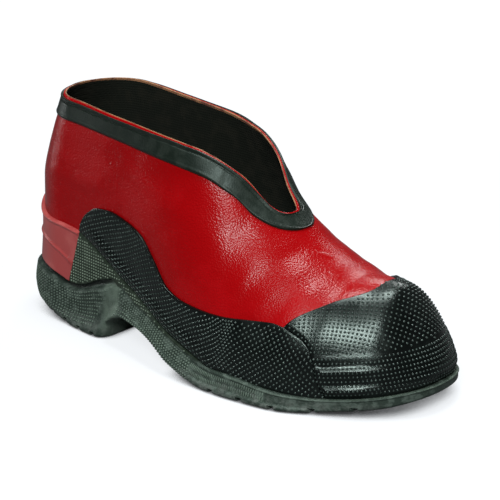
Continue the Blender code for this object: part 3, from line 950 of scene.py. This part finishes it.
def shank_panel(side):
    corner = STAY_FRONT[1, 0] + 0.5
    rows = joined(
        STAY_FRONT[:, 0], even_rows(STAY_FRONT[0, 0], corner, 0.8), even_rows(corner, SHANK_END, ROW_STEP),
    )

    def outer(station, height, up, down, this_side):
        groove = 1.3 * (1 - blend(down, start=1.0, end=1.8)) * blend(station, start=60, end=66)
        return BAND - groove

    def face(station, height):
        return last_point(station, share_at(station, height), side, BAND_FACE)

    low = share_at(rows, heel_seam(rows))
    high = share_at(rows, shank_top(rows))
    bm = wall(rows, low, high, SHELL, outer, fill=20, sides=(side,), rim=0.5)
    station, height = squared(*PANEL_LATTICE)
    inside = (height > sole_top(station) + 0.8) & (height < shank_top(station) - 2.0)
    studs_on(bm, face, station[inside], height[inside], -side, *PANEL_STUD)
    return bm


def cap_relief(station, above):
    """Thickness of the toe cap at a height above the feather line: a bumper, with two ridges at its sides."""
    step = 0.3 * (1 - blend(above, start=17.0, end=20.6))
    upper_ridge = ridge(above, height=1.6, centre=10.6, width=5.4)
    lower_ridge = ridge(above, height=2.2, centre=0.6, width=6.0)
    return BAND + 0.5 + step + (upper_ridge + lower_ridge) * (1 - blend(station, start=268, end=291))


def cap_ways():
    """Directions out from the heart of the toe box, in a staggered lattice of even pitch."""
    tilt = np.radians(42)
    ahead = np.array((np.cos(tilt), 0.06, np.sin(tilt)))
    ahead /= np.linalg.norm(ahead)
    across = np.cross((0, 0, 1), ahead)
    across /= np.linalg.norm(across)
    above = np.cross(ahead, across)
    around, rise = staggered(*CAP_LATTICE)
    turn = np.maximum(np.hypot(around, rise), TINY)
    radius = 48.0
    angle = turn / radius
    flat = np.outer(across, around / turn) + np.outer(above, rise / turn)
    ways = np.outer(ahead, np.cos(angle)) + flat * np.sin(angle)
    return ways[:, turn < 90].T


def outside_hit(tree, heart, way):
    """Where a line from outside towards the heart first meets the cap, in millimetres."""
    outside = 160
    start = Vector((heart + way * outside - SHIFT) * MM)
    spot, normal, _, _ = tree.ray_cast(start, Vector(-way))
    return (None, None) if spot is None else (np.array(spot) / MM + SHIFT, normal)


def bumper_row(tree, above, pitch, offset):
    """Places an even pitch apart along the bumper at a height above the feather line."""
    line = []
    for angle in np.radians(np.arange(-115, 115, 0.5)):
        way = np.array((np.cos(angle), np.sin(angle), 0.0))
        feather = 17.0
        for _ in range(3):
            heart = np.array((CAP_HEART[0], CAP_HEART[1], feather + above))
            spot = outside_hit(tree, heart, way)[0]
            if spot is None:
                break
            feather = smooth(LAST, spot[0], FEATHER)
        if spot is not None:
            line.append(spot)
    line = np.array(line)
    run = np.concatenate(((0.0,), np.cumsum(np.linalg.norm(np.diff(line, axis=0), axis=1))))
    places = np.arange(offset, run[-1], pitch)
    return np.stack([np.interp(places, run, line[:, axis]) for axis in range(3)], axis=1)


def on_cap(spot):
    x, _, z = spot
    foot = max(smooth(CAP_SEAM, x) + 1.3, sole_top(x) + 0.4)
    return (x > CAP_TIP or z < smooth(CAP_TOP, x) - 1.0) and z > foot


def cap_dot(spot, normal):
    along = Vector((0, 0, 1)).cross(normal) + normal.cross(Vector((1, 0, 0))) * 0.02
    return stud_stand(Vector((spot - SHIFT) * MM), along, normal.cross(along), *CAP_DOT)


def toe_cap():
    close_start = 256
    rows = joined(
        CAP_TOP[:, 0], even_rows(CAP_TOP[0, 0], close_start, 0.9), np.linspace(close_start, CAP_TIP, 51),
        even_rows(CAP_TIP, LENGTH, 1.2),
    )
    low = share_at(rows, np.maximum(smooth(CAP_SEAM, rows), band_foot(rows)))
    high = share_at(rows, smooth(CAP_TOP, rows))

    def outer(station, height, up, down, side):
        relief = cap_relief(station, height - smooth(LAST, station, FEATHER))
        return BAND + (relief - BAND) * blend(up, 0.0, 3.0)

    bm = wall(rows, low, high, SHELL, outer, fill=64, rim=0.4)
    tree = BVHTree.FromBMesh(bm)
    stands = []
    for number, above in enumerate(CAP_ROWS):
        for spot in bumper_row(tree, above, pitch=2.35, offset=1.2 * (number % 2)):
            if on_cap(spot):
                normal = tree.find_nearest(Vector((spot - SHIFT) * MM))[1]
                stands.append(cap_dot(spot, normal))
    for way in cap_ways():
        spot, normal = outside_hit(tree, CAP_HEART, way)
        if spot is not None and on_cap(spot) and spot[2] - smooth(LAST, spot[0], FEATHER) > CAP_BUMPER_TOP:
            stands.append(cap_dot(spot, normal))
    add_studs(bm, stands, sides=8, top=0.45)
    return bm


def heel_stay():
    start, end = STAY_FRONT[:, 0]
    rows = joined(even_rows(0, start, ROW_STEP), even_rows(start, end, 0.5))
    front = np.where(rows < start, 0.0, smooth(STAY_FRONT, rows))
    low = share_at(rows, np.maximum(heel_seam(rows), front))
    high = share_at(rows, smooth(STAY_TOP, rows))

    def outer(station, height, up, down, side):
        rib = ridge(height, height=0.9, centre=smooth(STAY_RIB, station), width=3.4)
        bead = ridge(down, height=1.0, centre=1.5, width=3.4)
        return BAND + rib + bead

    return wall(rows, low, high, SHELL, outer, fill=60)


def breast_pull(station, height):
    """How far the heel block's side turns in towards its breast."""
    edge = np.interp(height, BREAST[:, 1], BREAST[:, 0])
    radius = BREAST_ROUND * (1 - blend(height, start=9, end=19)) + TINY
    near = np.clip(1 - (edge - station) / radius, 0, 1)
    near = np.where(station < edge, near, 1.0 - blend(station - edge, start=0, end=30))
    return radius * (1 - np.sqrt(1 - near ** 2))


def sole_side(station, share):
    """How far the side of the sole stands out from the last."""
    beside = blend(station, 0.0, HEEL_SIDE_START)
    forward = blend(station, HEEL_BLOCK_END, FOREFOOT_START)
    back, heel, ball, toe = (smooth(SOLE_SIDE, share, column) for column in (1, 2, 3, 4))
    fore = ball + (toe - ball) * blend(station, start=228, end=268)
    grow = back + (heel - back) * beside + (fore - heel) * forward
    lip = 1 - blend(station, start=92, end=108)
    at_ball = blend(station, start=165, end=205)
    at_toe = blend(station, start=235, end=265)
    face = BAND_FACE + PROUD + HEEL_PROUD * lip + BALL_PROUD * at_ball - TOE_LESS * at_toe
    grow = grow + (face - grow) * blend(share, 0.45, 0.95)
    bead = 0.6 * swell(share, 0.9, 0.2) - 0.7 * blend(share, 0.95, 1.0)
    crease = HEEL_GROOVE * lip * blend(share, 0.83, 0.92)
    return grow + bead * at_ball - crease


def sole_point(station, side, share):
    grow = sole_side(station, share)
    place = last_point(station, 0.0, side, grow)
    ground = smooth(UNDERSIDE, station)
    rise = (sole_top(station) - ground) * share
    foot = np.clip(1 - rise / FOOT_ROUND, 0, 1)
    pull = breast_pull(station, ground + rise) + FOOT_ROUND * (1 - np.sqrt(1 - foot ** 2))
    width = np.abs(place[1] - smooth(LAST, station, MIDDLE))
    place[1] -= side * np.minimum(pull, 0.5 * width)
    place[2] = ground + rise
    return place


def outsole():
    rows = joined(
        even_rows(0, 74, 1.6), np.linspace(74, 104, 41), even_rows(104, 250, 1.6),
        even_rows(250, LENGTH, 1.2),
    )
    wall_share = (1 + np.cos(np.linspace(0, np.pi, 37))) / 2
    inward = np.array((0.0, 0.3, 0.6, 0.85, 0.93, 0.965))
    share = np.concatenate((np.ones(len(inward)), wall_share, np.zeros(len(inward))))
    reach = np.concatenate((inward, np.ones(len(wall_share)), inward[::-1]))
    bm = bmesh.new()
    for side in (-1.0, 1.0):
        def place(row, column):
            edge = sole_point(rows[row], side, share[column])
            middle = smooth(LAST, rows[row], MIDDLE)
            edge[1] = middle + (edge[1] - middle) * reach[column]
            within = half_width(edge[0], 0.0) - np.abs(edge[1] - smooth(LAST, edge[0], MIDDLE))
            sunk = blend(within, 0.0, 1.4) * (share[column] == 1)
            edge[2] += (smooth(LAST, rows[row], FEATHER) - FIT - edge[2]) * sunk
            return edge

        lay_grid(bm, len(rows), len(share), place)
    return weld(bm)


def mark_sole(bm):
    """Mark the paler corner at the heel's breast, the painted highlight along the forefoot's top edge, and
    the painted shade in the heel's groove.
    """
    raised = bm.verts.layers.float.new("raised")
    sunk = bm.verts.layers.float.new("sunk")
    for vert in bm.verts:
        station, _, height = np.array(vert.co) / MM + SHIFT
        top = sole_top(station)
        # a paler, smooth corner at the heel's breast
        corner = 0.8 * stretch(station, start=80, full=90, fade=100, end=112)
        # painted highlight along the bead at the forefoot's top edge
        edge = 0.6 * blend(station, 190, 205) * swell(height, top - 0.6, 2.4)
        vert[raised] = max(corner, edge)
        # painted shade: the groove at the top of the heel block, under the stay and panels
        vert[sunk] = 0.95 * blend(height - top, -3.4, -2.4) * (1 - blend(station, 90, 104))


BLOCK_HEIGHT = 30.0


def round_the_heel(run, level):
    """A point on the sole's side a distance round from the back of the heel, right side first."""
    station = np.interp(np.abs(run), OUTLINE_RUN, OUTLINE)
    return sole_point(station, np.where(run < 0, -1.0, 1.0), level / BLOCK_HEIGHT)


def sole_knurl(bm):
    """Knurl round the heel block and along the shank, and short ribs along the forefoot's edge."""
    ends = (96, 104, 172, 174, 226)
    block, shank_start, shank_end, rib_start, rib_end = np.interp(ends, OUTLINE, OUTLINE_RUN)
    run, level = squared(-block, block, *HEEL_LEVELS)
    breast = np.interp(level, (6, 15, 26), (80, 84, 95))
    inside = np.abs(run) < np.interp(breast, OUTLINE, OUTLINE_RUN)
    studs_on(bm, round_the_heel, run[inside], level[inside], -1, *HEEL_STUD)
    for side in (-1, 1):
        run, level = squared(shank_start, shank_end, *SHANK_LEVELS)
        studs_on(bm, round_the_heel, side * run, level, -1, *SHANK_STUD)
        run, level = squared(rib_start, rib_end, *FORE_LEVELS)
        studs_on(bm, round_the_heel, side * run, level, -1, *FORE_RIB)


def insole():
    rows = even_rows(0, LENGTH, 3.0)
    grow = -WALL - 0.6
    profile = np.array(((0.0, 0.0), (1.0, 0.0), (1.0, 2.3), (0.94, 2.6), (0.6, 2.5), (0.0, 2.5)))
    bm = bmesh.new()
    for side in (-1.0, 1.0):
        def place(row, column):
            edge = last_point(rows[row], 0.0, side, grow)
            middle = smooth(LAST, rows[row], MIDDLE)
            reach, rise = profile[column].T
            return np.array((edge[0], middle + (edge[1] - middle) * reach, edge[2] + rise))

        lay_grid(bm, len(rows), len(profile), place)
    return weld(bm)


def groove_cutter():
    bm = bmesh.new()
    for station in np.concatenate((HEEL_GROOVES, FORE_GROOVES)):
        verts = bmesh.ops.create_cube(bm, size=1.0)["verts"]
        bmesh.ops.scale(bm, vec=Vector((GROOVE_WIDTH, GROOVE_LENGTH, 2 * GROOVE_DEPTH)) * MM, verts=verts)
        spot = (np.array((station, 0, smooth(UNDERSIDE, station))) - SHIFT) * MM
        bmesh.ops.translate(bm, vec=spot, verts=verts)
    scoop = bmesh.ops.create_uvsphere(bm, u_segments=48, v_segments=24, radius=MM)["verts"]
    bmesh.ops.scale(bm, vec=SCOOP_RADII, verts=scoop)
    bmesh.ops.translate(bm, vec=(SCOOP_CENTRE - SHIFT) * MM, verts=scoop)
    return bm


def carved(bm, cutter):
    """The first mesh with the second one cut out of it."""
    made = [show("carving", part) for part in (bm, cutter)]
    body, tool = made
    modifier = body.modifiers.new("cut", "BOOLEAN")
    modifier.operation = "DIFFERENCE"
    modifier.solver = "EXACT"
    modifier.object = tool
    result = bmesh.new()
    result.from_object(body, bpy.context.evaluated_depsgraph_get())
    for obj in made:
        mesh = obj.data
        bpy.data.objects.remove(obj)
        bpy.data.meshes.remove(mesh)
    return result


# Stage

# Softboxes: name, place, target, size and power
SOFTBOXES = (
    ("overhead", (0.03, 0.05, 1.3), (0.05, 0.0, 0.05), (0.4, 0.35), 14.0),
    ("side", (0.22, -0.68, 1.04), (0.05, 0.0, 0.05), (0.3, 0.3), 2.0),
    ("front", (0.6, -0.92, 0.86), (0.05, 0.0, 0.05), (0.3, 0.3), 15.0),
    ("heel_strip", (-0.95, -0.3, 0.12), (-0.1, 0.0, 0.07), (0.06, 0.25), 1.0),
    ("far_side", (-0.3, 1.0, 0.9), (0.0, 0.0, 0.06), (0.5, 0.4), 7.0),
)
# Camera: angles round and above the shoe, distance, and target on the last
CAMERA_TURN = np.radians(41.5)
CAMERA_RISE = np.radians(19.4)
CAMERA_DISTANCE = 1.0
CAMERA_TARGET = np.array((155.0, 0.0, 60.0))


def floor():
    """A pale floor, bright only to the camera, and shaded close under the sole."""
    bm = bmesh.new()
    level = Matrix.Translation((0, 0, -0.0003))
    bmesh.ops.create_grid(bm, x_segments=2, y_segments=2, size=12.0, matrix=level)
    obj = show("floor", bm)
    material, tree, sockets = finish(
        "pale_floor", Base_Color=(0.15, 0.155, 0.16, 1), Roughness=0.9, Specular_IOR_Level=0.0,
        Emission_Strength=1.0,
    )
    seen = tree.nodes.new("ShaderNodeLightPath").outputs["Is Camera Ray"]
    away = place_node(
        tree, "ShaderNodeVectorMath", {"operation": "LENGTH"}, Vector=own_place(tree),
    ).outputs["Value"]
    # painted shade: the glow is dimmer near the shoe than far off
    pale = mix_colour(tree, soft_step(tree, away, 0.25, 1.4), (0.78, 0.80, 0.82, 1), (1.0, 1.0, 1.0, 1))
    # painted shadow: ambient occlusion darkens the glow under and beside the sole
    clear = place_node(
        tree, "ShaderNodeAmbientOcclusion", {"samples": 8}, Distance=0.012,
    ).outputs["AO"]
    lit = calculate(tree, "MULTIPLY", seen, soft_step(tree, clear, 0.15, 0.62, 0.04, 1.0))
    feed(tree, sockets["Emission Color"], mix_colour(tree, lit, BLACK, pale))
    obj.data.materials.append(material)


def aimed(name, data, spot, target):
    """Put a light or a camera in the scene, turned to its target."""
    obj = bpy.data.objects.new(name, data)
    obj.location = spot
    obj.rotation_euler = (Vector(target) - Vector(spot)).to_track_quat("-Z", "Y").to_euler()
    bpy.context.scene.collection.objects.link(obj)
    return obj


def softbox(name, spot, target, size, power):
    light = bpy.data.lights.new(name, "AREA")
    light.shape = "RECTANGLE"
    light.size, light.size_y = size
    light.energy = power
    aimed(name, light, spot, target)


def camera():
    level = np.cos(CAMERA_RISE)
    back = np.array((np.sin(CAMERA_TURN) * level, -np.cos(CAMERA_TURN) * level, np.sin(CAMERA_RISE)))
    target = (CAMERA_TARGET - SHIFT) * MM
    lens = bpy.data.cameras.new("camera")
    lens.sensor_width = 36.0
    lens.lens = 119.5
    lens.shift_x = 0.032
    lens.shift_y = 0.006
    bpy.context.scene.camera = aimed("camera", lens, target + back * CAMERA_DISTANCE, target)


def world():
    sky = bpy.data.worlds.new("studio")
    sky.use_nodes = True
    background = sky.node_tree.nodes["Background"]
    background.inputs["Color"].default_value = (0.92, 0.96, 1.0, 1.0)
    background.inputs["Strength"].default_value = 0.09
    bpy.context.scene.world = sky


def main():
    for group in (pebble_group, handled_group, painted_highlight_group, ground_dust_group):
        group()
    dotted = rubber("black_rubber_dotted")[0]
    knurled = rubber("black_rubber_knurled")[0]
    fabric = knitted("black_knit_lining", 0.0004)
    piece("upper_skin", upper_skin(), red_rubber(), "red_rubber", "upper")
    piece("lining", lining(), fabric, "lining_fabric", "upper")
    piece("lining_edge", lining_edge(), knitted("tan_raw_edge", 0.0003), "lining_fabric", "upper")
    piece("binding", collar_binding(), rubber("black_rubber_binding")[0], "binding_rubber", "collar_binding")
    for side, word in ((-1.0, "right"), (1.0, "left")):
        piece("dotted_band_" + word, foxing(side), dotted, "dotted_rubber", "foxing_" + word)
        piece("knurled_panel_" + word, shank_panel(side), knurled, "knurled_rubber", "shank_panel_" + word)
    piece("dotted_cap", toe_cap(), dotted, "dotted_rubber", "toe_cap")
    piece("stay", heel_stay(), rubber("red_rubber_smooth")[0], "stay_rubber", "heel_stay")
    sole = carved(outsole(), groove_cutter())
    mark_sole(sole)
    sole_knurl(sole)
    piece("sole", sole, sole_rubber(), "sole_rubber", "outsole")
    piece("sock", insole(), fabric, "lining_fabric", "insole")
    floor()
    for box in SOFTBOXES:
        softbox(*box)
    world()
    camera()
    bpy.context.scene.view_settings.view_transform = "Standard"


main()
